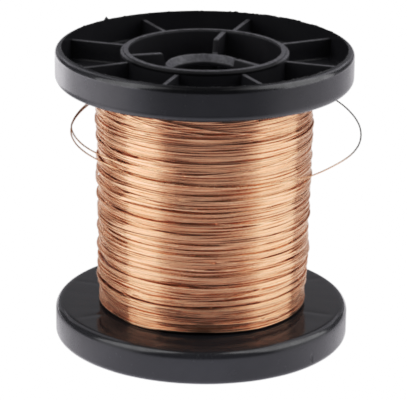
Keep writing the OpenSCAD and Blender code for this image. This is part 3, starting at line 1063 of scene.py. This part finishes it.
# ---------------------------------------------------------------- floor and light
# a white sweep; its glow towards the spool differs round the table, as soft panels standing on it would make it
GLOW = [
    # azimuth from the camera's side towards +X, then the glow at the foot, near, between and further out
    (0, 1.30, 1.12, 0.23, 0.56), (20, 1.22, 1.10, 0.23, 0.52), (30, 1.22, 1.08, 0.26, 0.48), (40, 1.25, 1.10, 0.38, 0.60), (50, 1.30, 1.25, 0.90, 1.05),
    (60, 1.30, 1.40, 1.50, 1.32), (80, 1.15, 1.45, 1.60, 1.38), (100, 0.82, 1.20, 1.40, 1.32), (120, 0.82, 0.95, 1.00, 1.05), (140, 1.00, 1.0, 0.9, 1.00),
    (160, 0.95, 1.0, 1.0, 1.00), (180, 1.00, 1.0, 1.0, 1.15), (200, 0.80, 1.1, 1.0, 1.50), (212, 0.68, 0.9, 0.85, 1.50), (222, 0.62, 0.65, 0.6, 2.1), (230, 0.58, 0.58, 0.5, 2.5),
    (245, 0.60, 0.52, 0.46, 1.85), (256, 0.75, 0.8, 0.6, 2.15), (265, 1.00, 1.4, 1.1, 2.40), (280, 1.25, 1.9, 1.70, 2.45), (300, 1.50, 1.8, 1.55, 2.25), (312, 1.50, 1.60, 0.95, 1.70),
    (322, 1.45, 1.30, 0.38, 0.84), (334, 1.38, 1.16, 0.23, 0.52), (346, 1.32, 1.12, 0.23, 0.52), (360, 1.30, 1.12, 0.23, 0.56),
]
radii = np.array([0, 35, 50, 60, 72, 85, 100, 112, 125, 150, 180, 200, 225, 290, 360, 450, 620, 1500, 6000], float)
az = np.arange(0, 360, 5.0)
gl = np.array(GLOW)
rings3 = [np.interp(az, gl[:, 0], gl[:, k]) for k in (1, 2, 3, 4)]
co, glow = [(0, 0, -0.02)], [1.3]
for r in radii[1:]:
    for i, deg in enumerate(az):
        co.append((r * math.sin(math.radians(deg)), -r * math.cos(math.radians(deg)), -0.02))
        foot, near, mid, far = (ring[i] for ring in rings3)
        glow.append(np.interp(r, (60, 72, 100, 125, 180, 225, 360, 620), (foot, near, near, mid, mid, far, far, 0.45 * far)))
n = len(az)
tris = np.array([[0, 1 + i, 1 + (i + 1) % n] for i in range(n)])
quads = np.array([[1 + j * n + i, 1 + (j + 1) * n + i, 1 + (j + 1) * n + (i + 1) % n, 1 + j * n + (i + 1) % n] for j in range(len(radii) - 2) for i in range(n)])
floor = new_mesh("floor", np.array(co), [quads, tris], smooth=False)
# warmer in front, where the light comes back from the room
co, glow = np.array(co), np.array(glow)
warm = np.clip((-co[:, 1] - 0.6 * np.abs(co[:, 0])) / 60.0, 0, 1)[:, None]
glow = glow[:, None] * (1 - warm + warm * np.array([1.0, 1.03, 1.075]))
glow = glow * np.array([1.0, 0.975, 1.015])
glow_attr = floor.data.attributes.new("glow", "FLOAT_COLOR", "POINT")
glow_attr.data.foreach_set("color", np.column_stack([glow, np.ones(len(glow))]).astype(np.float32).ravel())
fm = bpy.data.materials.new("floor_white")
fm.use_nodes = True
nt = fm.node_tree
nt.nodes.clear()
out = nt.nodes.new("ShaderNodeOutputMaterial")
seen, unseen, mixer = (nt.nodes.new(x) for x in ("ShaderNodeEmission", "ShaderNodeEmission", "ShaderNodeMixShader"))
seen.inputs["Strength"].default_value = 1.0
nt.links.new(ramp(nt, noise(nt, 3, 2, 0.5), [(0.3, (1.32, 1.32, 1.32)), (0.7, (1.36, 1.36, 1.36))]), seen.inputs["Color"])
att = nt.nodes.new("ShaderNodeAttribute")
att.attribute_name = "glow"
nt.links.new(att.outputs["Color"], unseen.inputs["Color"])
lp_node = nt.nodes.new("ShaderNodeLightPath")
nt.links.new(lp_node.outputs["Is Camera Ray"], mixer.inputs["Fac"])
nt.links.new(unseen.outputs[0], mixer.inputs[1])
nt.links.new(seen.outputs[0], mixer.inputs[2])
nt.links.new(mixer.outputs[0], out.inputs["Surface"])
floor.data.materials.append(fm)

world = bpy.data.worlds.new("world")
scene.world = world
world.use_nodes = True
nt = world.node_tree
bg = nt.nodes["Background"]
bg.inputs["Color"].default_value = (0.97, 0.97, 1, 1)
bg.inputs["Strength"].default_value = 0.10
bright = nt.nodes.new("ShaderNodeBackground")
bright.inputs["Strength"].default_value = 1.35
mixer = nt.nodes.new("ShaderNodeMixShader")
lp_node = nt.nodes.new("ShaderNodeLightPath")
wout = next(x for x in nt.nodes if x.type == "OUTPUT_WORLD")
nt.links.new(lp_node.outputs["Is Camera Ray"], mixer.inputs["Fac"])
nt.links.new(bg.outputs[0], mixer.inputs[1])
nt.links.new(bright.outputs[0], mixer.inputs[2])
nt.links.new(mixer.outputs[0], wout.inputs["Surface"])


def softbox(name, azimuth, elevation, dist, width, height, radiance, colour=(1.0, 0.985, 1.035)):
    """azimuth from the camera's side (-Y) towards +X, degrees; aimed at the spool's middle."""
    a, e = math.radians(azimuth), math.radians(elevation)
    d = Vector((math.sin(a) * math.cos(e), -math.cos(a) * math.cos(e), math.sin(e)))
    data = bpy.data.lights.new(name, "AREA")
    data.shape = "RECTANGLE"
    data.size, data.size_y = width, height
    data.energy = radiance * math.pi * width * height
    ob = bpy.data.objects.new(name, data)
    ob.location = Vector((0, 0, 0.04)) + d * dist
    ob.rotation_mode = "QUATERNION"
    ob.rotation_quaternion = d.to_track_quat("Z", "Y")
    ob.visible_camera = False
    data.color = colour
    scene.collection.objects.link(ob)
    return ob


softbox("softbox_left", -68, 34, 1.0, 0.78, 1.8, 1.17, (1.0, 1.0, 1.0))
softbox("softbox_right", 86, 36, 1.0, 1.10, 1.8, 1.14, (1.0, 1.0, 1.0))
softbox("high_left", -143, 46, 1.0, 0.42, 0.9, 0.6)
softbox("high_right", 142, 46, 1.0, 0.45, 0.9, 0.7)
softbox("backdrop_light", 180, 52, 1.4, 1.6, 0.6, 0.35)
softbox("wall", 180, 17, 1.5, 2.2, 0.6, 0.28)

# the lens is a little soft at this size
scene.cycles.filter_width = 2.05
scene.view_settings.view_transform = "Standard"
scene.view_settings.look = "None"
scene.view_settings.exposure = 0.0
scene.view_settings.gamma = 1.0
# a gentle S-shaped film curve, which brings everything from WHITE up to white
WHITE = 1.3
TONE = [(0, 0), (0.004, 0.0018), (0.010, 0.0053), (0.020, 0.0113), (0.045, 0.0285), (0.075, 0.052), (0.124, 0.103), (0.202, 0.203), (0.277, 0.30), (0.352, 0.395), (0.475, 0.53), (0.627, 0.655), (0.89, 0.81), (1.12, 0.94), (WHITE, 1.0)]
scene.view_settings.use_curve_mapping = True
cm = scene.view_settings.curve_mapping
cm.use_clip = True
cm.extend = "HORIZONTAL"
cm.white_level = (WHITE, WHITE, WHITE)
cpts = cm.curves[3].points
while len(cpts) < len(TONE):
    cpts.new(0.5, 0.5)
for p, (x, y) in zip(cpts, TONE):
    p.location = (x / WHITE, y)
    p.handle_type = "AUTO"
cm.update()
